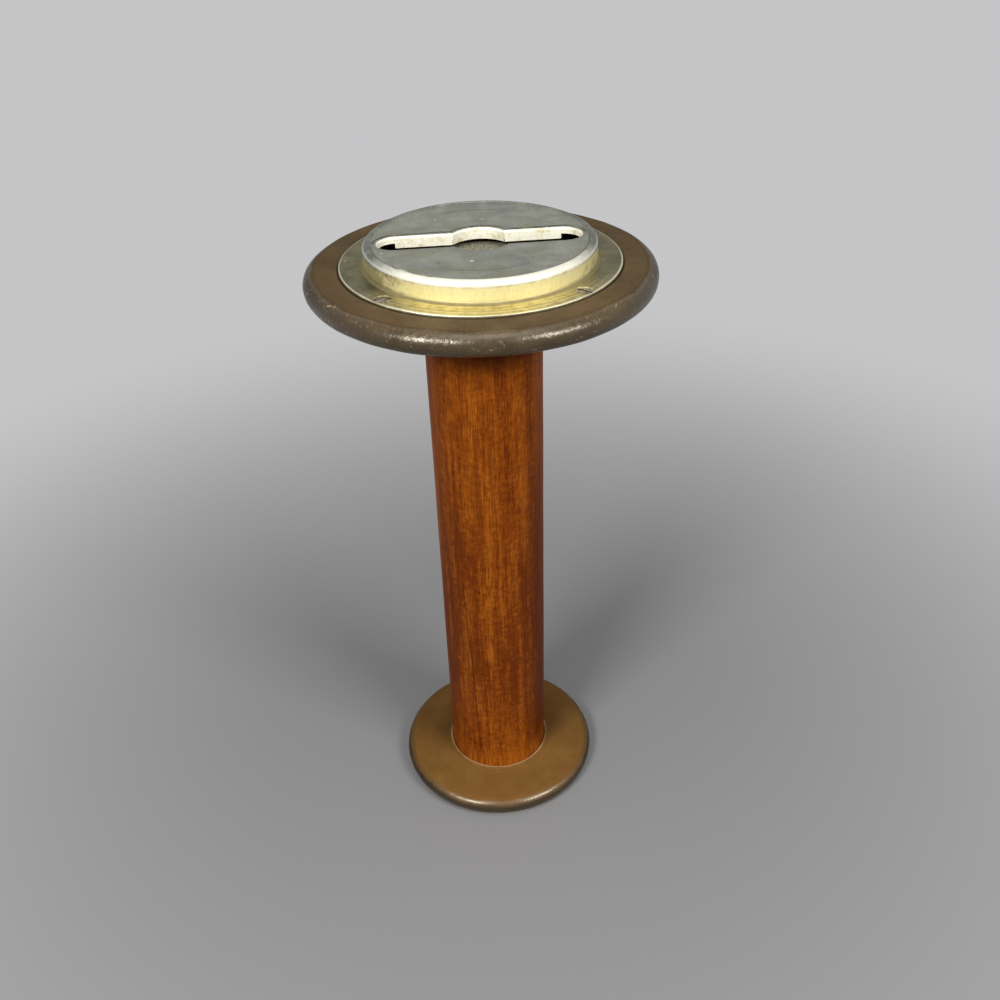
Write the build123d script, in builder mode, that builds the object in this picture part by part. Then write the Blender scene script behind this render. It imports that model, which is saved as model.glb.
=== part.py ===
from build123d import *
import os
from math import radians, sqrt, tan

# A textile mill bobbin: a wooden barrel between two fibre heads, with a pressed metal drive cap
# on the large head. The origin is the centre of the small head's underside, on which the bobbin
# stands. +Z runs up the barrel to the drive cap, and the drive slot lies along X. Millimetres.

# Heads
large_head_diameter = 139.7
large_head_thickness = 9.5
small_head_diameter = 98.4
small_head_thickness = 9.5
traverse = 257.2

# A low rounded bead on each head's inner face surrounds the barrel
bead_width = 2.0
bead_height = 0.8
bead_land = 0.1

# Barrel, let into a shallow step in each head and held there by a tenon
barrel_diameter = 49.0
shoulder_width = 8.0
let_in_depth = 1.5
foot_tenon_recess = 0.5
drive_tenon_projection = 1.9
tenon_edge_chamfer = 0.6
tenon_clearance = 0.1
let_in_clearance = 0.15

# Spindle bushes, pressed into the two ends of the barrel's bore
spindle_bore_diameter = 12.7
bush_wall = 1.6
bush_length = 25.4
bush_recess = 2.0
bush_edge_chamfer = 0.4
bush_clearance = 0.03

# Drive cap, pressed from one sheet: a flat ring, a drawn wall and a raised rim round a sunk face
cap_sheet_thickness = 1.0
large_head_margin = 14.2
cap_ring_width = 9.9
cap_height = 9.5
cap_rim_width = 2.7
cap_rim_slope = 0.6
cap_rim_land = 0.15
cap_lip_radius = 0.25
cap_face_recess = 0.45
cap_foot_radius = 1.2
cap_edge_radius = 0.25

# Drive slot and centre hole, with their edges turned down as tabs, end lips and a collar
slot_width = 14.0
slot_end_margin = 5.8
centre_hole_diameter = 24.6
slot_bend_inner_radius = 0.3
slot_end_lip_depth = 2.8
collar_clearance = 2.4
relief_width = 0.5
relief_offset = -0.25
relief_roof = 3.4

# Screws that hold the drive cap to the large head
cap_screw_count = 4
cap_screw_first_angle = 42
cap_screw_edge_distance = 3.95
cap_screw_head_diameter = 6.6
cap_screw_shank_diameter = 3.5
cap_screw_cover = 2.3

# Screws that hold each head to a shoulder of the barrel
head_screw_count = 4
head_screw_first_angle = 45
head_screw_head_diameter = 5.6
head_screw_shank_diameter = 2.8
head_screw_grip = 14.0

# Details that all the screws share
countersink_angle = 82
screw_point_length = 3.0
screw_head_land = 0.25
screw_sink = 0.15
screw_clearance = 0.05
screw_spare_depth = 0.5
driver_slot_width = 1.0
driver_slot_depth = 0.8

# Radii
large_head_radius = large_head_diameter / 2
small_head_radius = small_head_diameter / 2
barrel_radius = barrel_diameter / 2
tenon_radius = barrel_radius - shoulder_width
spindle_bore_radius = spindle_bore_diameter / 2
barrel_bore_radius = spindle_bore_radius + bush_wall + bush_clearance
cap_ring_radius = large_head_radius - large_head_margin
cap_boss_radius = cap_ring_radius - cap_ring_width
cap_wall_inner_radius = cap_boss_radius - cap_sheet_thickness
cap_rim_inner_radius = cap_boss_radius - cap_rim_width
cap_corner_radius = cap_rim_width - cap_rim_land - cap_lip_radius
centre_hole_radius = centre_hole_diameter / 2
slot_end_spacing = 2 * (cap_boss_radius - slot_end_margin) - slot_width
cap_screw_pitch_radius = cap_ring_radius - cap_screw_edge_distance
cap_screw_head_radius = cap_screw_head_diameter / 2
cap_screw_shank_radius = cap_screw_shank_diameter / 2
head_screw_pitch_radius = barrel_radius - shoulder_width / 2
head_screw_head_radius = head_screw_head_diameter / 2
head_screw_shank_radius = head_screw_shank_diameter / 2

# Heights
lower_shoulder_z = small_head_thickness - let_in_depth
upper_shoulder_z = small_head_thickness + traverse + let_in_depth
large_head_outer_z = small_head_thickness + traverse + large_head_thickness
drive_tenon_z = large_head_outer_z + drive_tenon_projection
cap_ring_z = large_head_outer_z + cap_sheet_thickness
cap_top_z = large_head_outer_z + cap_height
cap_face_z = cap_top_z - cap_face_recess
cap_under_face_z = cap_face_z - cap_sheet_thickness
tab_depth = cap_face_z - drive_tenon_z - collar_clearance

# Faces that the screws enter, with +Z of each pointing back along the screw
under_face = Plane(origin=(0, 0, 0), x_dir=(1, 0, 0), z_dir=(0, 0, -1))
lower_shoulder = under_face.offset(-lower_shoulder_z)
upper_shoulder = Plane.XY.offset(upper_shoulder_z)
large_head_face = Plane.XY.offset(large_head_outer_z)
cap_ring_face = Plane.XY.offset(cap_ring_z)

# Planes for the heads' sections: x is the radius, and y runs from the outer face inwards
small_head_section = Plane.XZ
large_head_section = Plane(origin=(0, 0, large_head_outer_z), x_dir=(1, 0, 0), z_dir=(0, 1, 0))

countersink_slope = tan(radians(countersink_angle / 2))


def turned_head(section, radius, thickness):
    """A disc with a rounded rim, a bead, and a stepped hole for the barrel's shoulder and tenon."""
    rim_radius = thickness / 2
    step_radius = barrel_radius + let_in_clearance
    hole_radius = tenon_radius + tenon_clearance
    step_z = thickness - let_in_depth
    bead_z = thickness + bead_height
    bead_edge_radius = min(bead_height, bead_width / 2) - bead_land
    with BuildPart() as head:
        with BuildSketch(section) as profile:
            with BuildLine():
                Polyline(
                    (radius - rim_radius, thickness),
                    (step_radius + bead_width, thickness),
                    (step_radius + bead_width, bead_z),
                    (step_radius, bead_z),
                    (step_radius, step_z),
                    (hole_radius, step_z),
                    (hole_radius, 0),
                    (radius - rim_radius, 0),
                )
                CenterArc((radius - rim_radius, rim_radius), rim_radius, -90, 180)
            make_face()
            fillet(profile.vertices().group_by(Axis.Y)[-1], bead_edge_radius)
        revolve(axis=Axis.Z)
    return head.part


def cut_screw_holes(face, sink_radius, shank_radius, depth, pitch_radius, count, first_angle):
    """Cut a ring of countersunk screw holes into the open part, from one of its faces."""
    hole_radius = shank_radius + screw_clearance
    with Locations(face):
        with PolarLocations(pitch_radius, count, first_angle):
            CounterSinkHole(hole_radius, max(sink_radius, hole_radius), depth, countersink_angle)


def sink_radius(head_radius, depth_below_face):
    """The radius of a screw's countersink at a depth below the face that it starts from."""
    land_depth = screw_sink + screw_head_land
    return head_radius + screw_clearance + (land_depth - depth_below_face) * countersink_slope


def wood_screw(head_radius, shank_radius, length):
    """A slotted countersunk screw, with the top of its head at the origin, pointing down."""
    cone_depth = (head_radius - shank_radius) / countersink_slope
    with BuildPart() as screw:
        with BuildSketch(Plane.XZ):
            Polygon(
                (0, 0),
                (head_radius, 0),
                (head_radius, -screw_head_land),
                (shank_radius, -screw_head_land - cone_depth),
                (shank_radius, screw_point_length - length),
                (0, -length),
                align=None,
            )
        revolve(axis=Axis.Z)
        with BuildSketch(Plane.XY):
            Rectangle(2 * head_radius, driver_slot_width)
        extrude(amount=-driver_slot_depth, mode=Mode.SUBTRACT)
    return screw.part


def screw_ring(face, screw, pitch_radius, count, first_angle):
    """A ring of like screws, each sunk just below the face."""
    with BuildPart() as ring:
        with Locations(face.offset(-screw_sink)):
            with PolarLocations(pitch_radius, count, first_angle):
                add(screw)
    return ring.part


def spindle_bush(top_z):
    """A plain tube for one end of the barrel's bore, with its top at the given height."""
    with BuildPart() as bush:
        with BuildSketch(Plane.XY.offset(top_z)):
            Circle(spindle_bore_radius + bush_wall)
            Circle(spindle_bore_radius, mode=Mode.SUBTRACT)
        extrude(amount=-bush_length)
        end_edges = bush.edges().filter_by(GeomType.CIRCLE)
        chamfer(end_edges.group_by(SortBy.RADIUS)[-1], bush_edge_chamfer)
    return bush.part


def slot_outline(spread):
    """The drive slot joined with the centre hole, grown outwards by the spread."""
    with BuildSketch() as outline:
        SlotCenterToCenter(slot_end_spacing, slot_width + 2 * spread)
        Circle(centre_hole_radius + spread)
    return outline.sketch


# Barrel: one turned piece of wood, bored through
with BuildPart() as barrel:
    with BuildSketch(Plane.XY.offset(foot_tenon_recess)):
        Circle(tenon_radius)
    extrude(amount=drive_tenon_z - foot_tenon_recess)
    chamfer(barrel.edges().filter_by(GeomType.CIRCLE), tenon_edge_chamfer)
    with BuildSketch(Plane.XY.offset(lower_shoulder_z)):
        Circle(barrel_radius)
    extrude(amount=upper_shoulder_z - lower_shoulder_z)
    with BuildSketch(Plane.XY.offset(foot_tenon_recess)):
        Circle(barrel_bore_radius)
    extrude(amount=drive_tenon_z - foot_tenon_recess, mode=Mode.SUBTRACT)
    for shoulder in (lower_shoulder, upper_shoulder):
        with Locations(shoulder):
            with PolarLocations(head_screw_pitch_radius, head_screw_count, head_screw_first_angle):
                Hole(head_screw_shank_radius + screw_clearance, head_screw_grip + screw_spare_depth)
barrel.part.label = "barrel"

# Large head, with holes for its own screws and for the drive cap's
with BuildPart() as large_head:
    add(turned_head(large_head_section, large_head_radius, large_head_thickness))
    cut_screw_holes(
        large_head_face,
        sink_radius(head_screw_head_radius, 0),
        head_screw_shank_radius,
        large_head_thickness,
        head_screw_pitch_radius,
        head_screw_count,
        head_screw_first_angle,
    )
    cut_screw_holes(
        large_head_face,
        sink_radius(cap_screw_head_radius, cap_sheet_thickness),
        cap_screw_shank_radius,
        large_head_thickness - cap_screw_cover + screw_spare_depth,
        cap_screw_pitch_radius,
        cap_screw_count,
        cap_screw_first_angle,
    )
large_head.part.label = "large_head"

# Small head
with BuildPart() as small_head:
    add(turned_head(small_head_section, small_head_radius, small_head_thickness))
    cut_screw_holes(
        under_face,
        sink_radius(head_screw_head_radius, 0),
        head_screw_shank_radius,
        small_head_thickness,
        head_screw_pitch_radius,
        head_screw_count,
        head_screw_first_angle,
    )
small_head.part.label = "small_head"

# Spindle bushes
drive_bush = spindle_bush(drive_tenon_z - bush_recess)
drive_bush.label = "drive_bush"
foot_bush = spindle_bush(foot_tenon_recess + bush_recess + bush_length)
foot_bush.label = "foot_bush"

# Drive cap
with BuildPart() as drive_cap:
    with BuildSketch(Plane.XZ) as cap_profile:
        Polygon(
            (0, cap_face_z),
            (cap_rim_inner_radius - cap_rim_slope, cap_face_z),
            (cap_rim_inner_radius, cap_top_z),
            (cap_boss_radius, cap_top_z),
            (cap_boss_radius, cap_ring_z),
            (cap_ring_radius, cap_ring_z),
            (cap_ring_radius, large_head_outer_z),
            (cap_wall_inner_radius, large_head_outer_z),
            (cap_wall_inner_radius, cap_under_face_z),
            (0, cap_under_face_z),
            align=None,
        )
        corner_radii = {
            (cap_rim_inner_radius, cap_top_z): cap_lip_radius,
            (cap_boss_radius, cap_top_z): cap_corner_radius,
            (cap_boss_radius, cap_ring_z): cap_foot_radius,
            (cap_ring_radius, cap_ring_z): cap_edge_radius,
            (cap_wall_inner_radius, large_head_outer_z): cap_foot_radius + cap_sheet_thickness,
            (cap_wall_inner_radius, cap_under_face_z): cap_corner_radius - cap_sheet_thickness,
        }
        for corner, radius in corner_radii.items():
            fillet(cap_profile.vertices().sort_by_distance(corner)[0], radius)
    revolve(axis=Axis.Z)
    with BuildSketch(Plane.XY.offset(cap_face_z)):
        add(slot_outline(cap_sheet_thickness))
    extrude(amount=-slot_end_lip_depth)
    with BuildSketch(Plane.XY.offset(cap_face_z)):
        add(slot_outline(cap_sheet_thickness))
        Rectangle(slot_end_spacing, 2 * cap_boss_radius, mode=Mode.INTERSECT)
    extrude(amount=-tab_depth)
    with BuildSketch(Plane.XY.offset(cap_top_z)):
        add(slot_outline(0))
    extrude(amount=-cap_height, mode=Mode.SUBTRACT)
    face_z_range = (cap_face_z - cap_edge_radius, cap_face_z + cap_edge_radius)
    drive_face = drive_cap.faces().filter_by(Plane.XY).filter_by_position(Axis.Z, *face_z_range)[0]
    fillet(drive_face.inner_wires().edges(), cap_sheet_thickness + slot_bend_inner_radius)
    relief_x = sqrt(centre_hole_radius**2 - (slot_width / 2) ** 2) + relief_offset
    with BuildSketch(Plane.XY.offset(cap_face_z - relief_roof)):
        for side in (1, -1):
            with Locations((side * (relief_x + relief_width / 2), 0)):
                Rectangle(relief_width, slot_width + 4 * cap_sheet_thickness)
    extrude(amount=-tab_depth, mode=Mode.SUBTRACT)
    cut_screw_holes(
        cap_ring_face,
        sink_radius(cap_screw_head_radius, 0),
        cap_screw_shank_radius,
        cap_height,
        cap_screw_pitch_radius,
        cap_screw_count,
        cap_screw_first_angle,
    )
drive_cap.part.label = "drive_cap"

# Screws
cap_screw_length = cap_sheet_thickness + large_head_thickness - cap_screw_cover - screw_sink
large_head_screw_length = large_head_thickness - let_in_depth + head_screw_grip - screw_sink
small_head_screw_length = small_head_thickness - let_in_depth + head_screw_grip - screw_sink

cap_screws = screw_ring(
    cap_ring_face,
    wood_screw(cap_screw_head_radius, cap_screw_shank_radius, cap_screw_length),
    cap_screw_pitch_radius,
    cap_screw_count,
    cap_screw_first_angle,
)
cap_screws.label = "cap_screws"

large_head_screws = screw_ring(
    large_head_face,
    wood_screw(head_screw_head_radius, head_screw_shank_radius, large_head_screw_length),
    head_screw_pitch_radius,
    head_screw_count,
    head_screw_first_angle,
)
large_head_screws.label = "large_head_screws"

small_head_screws = screw_ring(
    under_face,
    wood_screw(head_screw_head_radius, head_screw_shank_radius, small_head_screw_length),
    head_screw_pitch_radius,
    head_screw_count,
    head_screw_first_angle,
)
small_head_screws.label = "small_head_screws"

pieces = [
    barrel.part,
    large_head.part,
    small_head.part,
    drive_bush,
    foot_bush,
    drive_cap.part,
    cap_screws,
    large_head_screws,
    small_head_screws,
]
os.makedirs("parts", exist_ok=True)
for piece in pieces:
    export_step(piece, f"parts/{piece.label}.step")
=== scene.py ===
from math import asin, cos, degrees, pi, radians, sin, sqrt, tan

import bmesh
import bpy
import numpy as np
from mathutils import Matrix, Vector


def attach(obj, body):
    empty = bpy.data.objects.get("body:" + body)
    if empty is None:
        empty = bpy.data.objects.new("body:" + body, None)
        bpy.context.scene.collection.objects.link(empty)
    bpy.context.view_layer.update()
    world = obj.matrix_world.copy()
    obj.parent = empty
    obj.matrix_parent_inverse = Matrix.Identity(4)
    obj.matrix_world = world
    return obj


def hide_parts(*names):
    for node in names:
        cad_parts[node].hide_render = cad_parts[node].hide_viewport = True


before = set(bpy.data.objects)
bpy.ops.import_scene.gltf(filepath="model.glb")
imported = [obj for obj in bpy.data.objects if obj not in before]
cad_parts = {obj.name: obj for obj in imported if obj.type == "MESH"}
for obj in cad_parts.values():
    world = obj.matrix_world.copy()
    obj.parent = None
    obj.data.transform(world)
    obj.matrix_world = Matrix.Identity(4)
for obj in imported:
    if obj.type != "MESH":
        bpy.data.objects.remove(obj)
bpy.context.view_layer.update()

# The looks of a textile mill bobbin, built round its CAD model. Lengths are in millimetres until
# a mesh is made, where MM turns them into Blender's metres.

MM = 0.001

# Heads
LARGE_HEAD_RADIUS = 69.85
LARGE_HEAD_TOP = 276.2
SMALL_HEAD_RADIUS = 49.2
HEAD_THICKNESS = 9.5
HEAD_RIM_RADIUS = 4.75
BEAD_WIDTH = 2.0
BEAD_HEIGHT = 0.8
BEAD_EDGE_RADIUS = 0.7
LET_IN_DEPTH = 1.5
LET_IN_RADIUS = 24.65
TENON_HOLE_RADIUS = 16.6

# Barrel
BARREL_RADIUS = 24.5
BARREL_FOOT = 8.0
BARREL_SHOULDER = 268.2
TENON_RADIUS = 16.5
TENON_FOOT = 0.5
TENON_TOP = 278.1
TENON_CHAMFER = 0.6
BORE_RADIUS = 7.98

# Drive cap
RING_RADIUS = 55.65
RING_TOP = 277.2
BOSS_RADIUS = 45.75
WALL_INNER_RADIUS = 44.75
CAP_TOP = 285.7
CAP_FACE = 285.25
UNDER_FACE = 284.25
FOOT_RADIUS = 1.2
SHEET = 1.0
CORNER_RADIUS = 2.3
INNER_CORNER_RADIUS = 1.3
RIM_INNER_RADIUS = 43.05
RIM_SLOPE = 0.6
LIP_RADIUS = 0.25
SLOT_WIDTH = 14.0
SLOT_END_X = 32.95
HOLE_RADIUS = 12.3
BEND_RADIUS = 1.3
TAB_DEPTH = 4.75
LIP_DEPTH = 2.8
RELIEF_DEPTH = 3.4
RELIEF_REACH = 0.25

# Screws
CAP_SCREW_RADIUS = 51.7
CAP_SCREW_ANGLE = 42
CAP_SCREW_TOP = 277.05
CAP_SCREW_HEAD = 3.3
CAP_SCREW_SHANK = 1.75
CAP_SCREW_LENGTH = 8.05
HEAD_SCREW_RADIUS = 20.5
HEAD_SCREW_ANGLE = 45
HEAD_SCREW_DEPTH = 0.15
HEAD_SCREW_HEAD = 2.8
HEAD_SCREW_SHANK = 1.4
HEAD_SCREW_LENGTH = 21.85
SCREW_LAND = 0.25
SCREW_POINT = 3.0
SCREW_GAP = 0.05
COUNTERSINK_SLOPE = tan(radians(41))
DRIVER_SLOT_WIDTH = 1.0
DRIVER_SLOT_DEPTH = 0.8


# Sections and meshes

def arc(centre, radius, start, end, count):
    """Points on an arc of a section, from one angle to another in degrees."""
    angles = np.radians(np.linspace(start, end, count))
    return [(centre[0] + radius * cos(a), centre[1] + radius * sin(a)) for a in angles]


def dense(section, step):
    """A closed section with its straight runs divided into short steps."""
    points = []
    for (r0, z0), (r1, z1) in zip(section, section[1:] + section[:1]):
        parts = max(1, round(sqrt((r1 - r0) ** 2 + (z1 - z0) ** 2) / step))
        points += [(r0 + (r1 - r0) * i / parts, z0 + (z1 - z0) * i / parts) for i in range(parts)]
    return points


def circle(radius, z, angles):
    """One level ring of points."""
    return np.stack([radius * np.cos(angles), radius * np.sin(angles), np.full(len(angles), z)], 1)


def ring_mesh(name, rings):
    """A closed mesh from rings of points, each joined to the next and the last to the first."""
    rows, columns = len(rings), len(rings[0])
    corner = np.arange(rows * columns).reshape(rows, columns)
    below = np.roll(corner, -1, 0)
    faces = np.stack([corner, np.roll(corner, -1, 1), np.roll(below, -1, 1), below], -1)
    mesh = bpy.data.meshes.new(name)
    points = np.concatenate(rings) * MM
    mesh.from_pydata(points.tolist(), [], faces.reshape(-1, 4).tolist())
    tidy = bmesh.new()
    tidy.from_mesh(mesh)
    bmesh.ops.recalc_face_normals(tidy, faces=tidy.faces)
    tidy.to_mesh(mesh)
    tidy.free()
    mesh.update()
    return mesh


def lathe(name, section, segments):
    """A closed section turned about the Z axis."""
    angles = np.linspace(-pi, pi, segments, endpoint=False)
    return ring_mesh(name, [circle(r, z, angles) for r, z in section])


def place(name, mesh, smooth_angle=32):
    """A new object that shows the mesh smooth, apart from edges sharper than the angle."""
    mesh.shade_smooth()
    mesh.set_sharp_from_angle(angle=radians(smooth_angle))
    piece = bpy.data.objects.new(name, mesh)
    bpy.context.scene.collection.objects.link(piece)
    return piece


def carve(mesh, cutter):
    """The mesh with the cutter taken out of it."""
    body = bpy.data.objects.new("carved", mesh)
    tool = bpy.data.objects.new("cutter", cutter)
    for thing in (body, tool):
        bpy.context.scene.collection.objects.link(thing)
    cut = body.modifiers.new("cut", "BOOLEAN")
    cut.operation = "DIFFERENCE"
    cut.solver = "EXACT"
    cut.object = tool
    graph = bpy.context.evaluated_depsgraph_get()
    carved = bpy.data.meshes.new_from_object(body.evaluated_get(graph))
    for thing in (body, tool):
        bpy.data.objects.remove(thing)
    return carved


def joined(name, parts):
    """One mesh from several, each with the matrix that places it."""
    whole = bmesh.new()
    for mesh, matrix in parts:
        count = len(whole.verts)
        whole.from_mesh(mesh)
        whole.verts.ensure_lookup_table()
        bmesh.ops.transform(whole, matrix=matrix, verts=whole.verts[count:])
    mesh = bpy.data.meshes.new(name)
    whole.to_mesh(mesh)
    whole.free()
    return mesh


# Marks pressed into the meshes

def polar(radius, azimuth, z):
    """A point at an azimuth in degrees."""
    return np.array([radius * cos(radians(azimuth)), radius * sin(radians(azimuth)), z])


def mark(centre, normal, turn, length, width, depth, scar):
    """A dent: where it is, its turn from the level direction, its half sizes, depth and colour."""
    level = np.cross((0, 0, 1), normal)
    if np.linalg.norm(level) < 1e-6:
        level = np.array([1.0, 0.0, 0.0])
    level = level / np.linalg.norm(level)
    upright = np.cross(normal, level)
    along = cos(radians(turn)) * level + sin(radians(turn)) * upright
    return centre, normal, along, np.cross(normal, along), length, width, depth, scar


def rim_mark(radius, middle_z, azimuth, section_angle, turn, length, width, depth, scar):
    """A dent on the full round rim of a head."""
    out = polar(cos(radians(section_angle)), azimuth, sin(radians(section_angle)))
    centre = polar(radius - HEAD_RIM_RADIUS, azimuth, middle_z) + HEAD_RIM_RADIUS * out
    return mark(centre, out, turn, length, width, depth, scar)


def face_mark(x, y, z, turn, length, width, depth, scar):
    """A dent in a level face."""
    return mark(np.array([x, y, z]), np.array([0.0, 0.0, 1.0]), turn, length, width, depth, scar)


def press(mesh, marks, waves=()):
    """Move the mesh's points inwards at each mark, and in and out by the waves."""
    count = len(mesh.vertices)
    points = np.empty(count * 3)
    normals = np.empty(count * 3)
    mesh.vertices.foreach_get("co", points)
    mesh.vertex_normals.foreach_get("vector", normals)
    points = points.reshape(-1, 3) / MM
    normals = normals.reshape(-1, 3)
    shift = np.zeros(count)
    scars = np.zeros(count)
    for centre, normal, along, across, length, width, depth, scar in marks:
        away = points - centre
        reach = (away @ along / length) ** 2 + (away @ across / width) ** 2
        near = (normals @ normal > 0.3) & (np.abs(away @ normal) < 4 + depth)
        weight = np.where(near, np.exp(-reach), 0)
        shift -= depth * weight
        scars = np.maximum(scars, scar * weight)
    for wavelength, height, seed in waves:
        shift += height * ripple(points, wavelength, seed)
    points += normals * shift[:, None]
    mesh.vertices.foreach_set("co", (points * MM).ravel())
    layer = mesh.attributes.new("scar", "FLOAT", "POINT")
    layer.data.foreach_set("value", scars.astype(np.float32))
    mesh.update()


def ripple(points, wavelength, seed):
    """A smooth uneven height from -1 to 1, made of a few plane waves in seeded directions."""
    source = np.random.default_rng(seed)
    total = np.zeros(len(points))
    waves = 9
    for _ in range(waves):
        direction = source.normal(size=3)
        direction /= np.linalg.norm(direction)
        pace = 2 * pi / (wavelength * source.uniform(0.7, 1.5))
        total += np.sin(points @ direction * pace + source.uniform(0, 2 * pi))
    return total / sqrt(waves)


# Node materials

PALE_SPOT = (-4.4, -24.1, 89.5)

class Paint:
    """Short calls that build one material's node tree, in millimetres of the row frame."""

    def __init__(self, name):
        self.material = bpy.data.materials.new(name)
        self.material.use_nodes = True
        self.tree = self.material.node_tree
        self.tree.nodes.clear()
        self.place = self.scaled(self.node("ShaderNodeTexCoord").outputs["Object"], (1 / MM,) * 3)
        split = self.node("ShaderNodeSeparateXYZ", {0: self.place})
        self.x, self.y, self.z = split.outputs

    def node(self, kind, inputs=None, **settings):
        made = self.tree.nodes.new(kind)
        for key, value in settings.items():
            setattr(made, key, value)
        for key, value in (inputs or {}).items():
            if isinstance(value, bpy.types.NodeSocket):
                self.tree.links.new(value, made.inputs[key])
            else:
                made.inputs[key].default_value = value
        return made

    def math(self, operation, *values):
        return self.node("ShaderNodeMath", dict(enumerate(values)), operation=operation).outputs[0]

    def total(self, *values):
        result = values[0]
        for value in values[1:]:
            result = self.math("ADD", result, value)
        return result

    def product(self, *values):
        result = values[0]
        for value in values[1:]:
            result = self.math("MULTIPLY", result, value)
        return result

    def fade(self, value, start, end, low=0.0, high=1.0):
        """A smooth step from low to high as the value goes from start to end."""
        inputs = {0: value, 1: start, 2: end, 3: low, 4: high}
        return self.node("ShaderNodeMapRange", inputs, interpolation_type="SMOOTHSTEP").outputs[0]

    def band(self, value, start, end, soft):
        """1 between start and end, fading to 0 outside them."""
        rise = self.fade(value, start - soft, start + soft)
        return self.product(rise, self.fade(value, end - soft, end + soft, 1.0, 0.0))

    def scaled(self, vector, scale, turn=(0, 0, 0)):
        angles = [radians(a) for a in turn]
        inputs = {"Vector": vector, "Scale": scale, "Rotation": angles}
        return self.node("ShaderNodeMapping", inputs).outputs[0]

    def noise(self, scale, stretch=(1, 1, 1), detail=3.0, rough=0.5, warp=0.0, turn=(0, 0, 0), shift=0.0):
        """Noise around 0.5, with about scale features per millimetre."""
        where = self.scaled(self.place, stretch, turn)
        where = self.node("ShaderNodeVectorMath", {0: where, 1: (shift,) * 3}).outputs[0]
        inputs = {"Vector": where, "Scale": scale, "Detail": detail, "Roughness": rough}
        inputs["Distortion"] = warp
        return self.node("ShaderNodeTexNoise", inputs).outputs[0]

    def radius(self):
        return self.math("SQRT", self.total(self.product(self.x, self.x), self.product(self.y, self.y)))

    def colour(self, factor, low, high, blend="MIX"):
        """Two colours mixed by a factor."""
        made = self.node("ShaderNodeMix", data_type="RGBA", blend_type=blend)
        for index, value in ((0, factor), (6, low), (7, high)):
            if isinstance(value, bpy.types.NodeSocket):
                self.tree.links.new(value, made.inputs[index])
            elif index:
                made.inputs[index].default_value = (*value, 1)
            else:
                made.inputs[index].default_value = value
        return made.outputs[2]

    def scar(self):
        found = self.node("ShaderNodeAttribute", attribute_name="scar", attribute_type="GEOMETRY")
        return found.outputs["Fac"]

    def bump(self, height, distance, normal=None):
        """A bump whose height 1 stands the distance proud, in millimetres."""
        inputs = {"Height": height, "Distance": distance * MM, "Strength": 1.0}
        if normal:
            inputs["Normal"] = normal
        return self.node("ShaderNodeBump", inputs).outputs[0]

    def finish(self, **inputs):
        shader = self.node("ShaderNodeBsdfPrincipled", inputs)
        self.node("ShaderNodeOutputMaterial", {"Surface": shader.outputs[0]})
        return self.material


def lines(paint, scale, turn, shift, edge):
    """Short thin straight streaks in one direction."""
    streak = paint.noise(scale, (1, 0.06, 1), 1.0, 0.4, 0.0, turn, shift)
    patch = paint.noise(0.09, detail=2.0, shift=shift + 7)
    return paint.product(paint.fade(streak, edge, edge + 0.03), paint.fade(patch, 0.5, 0.6))


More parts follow.
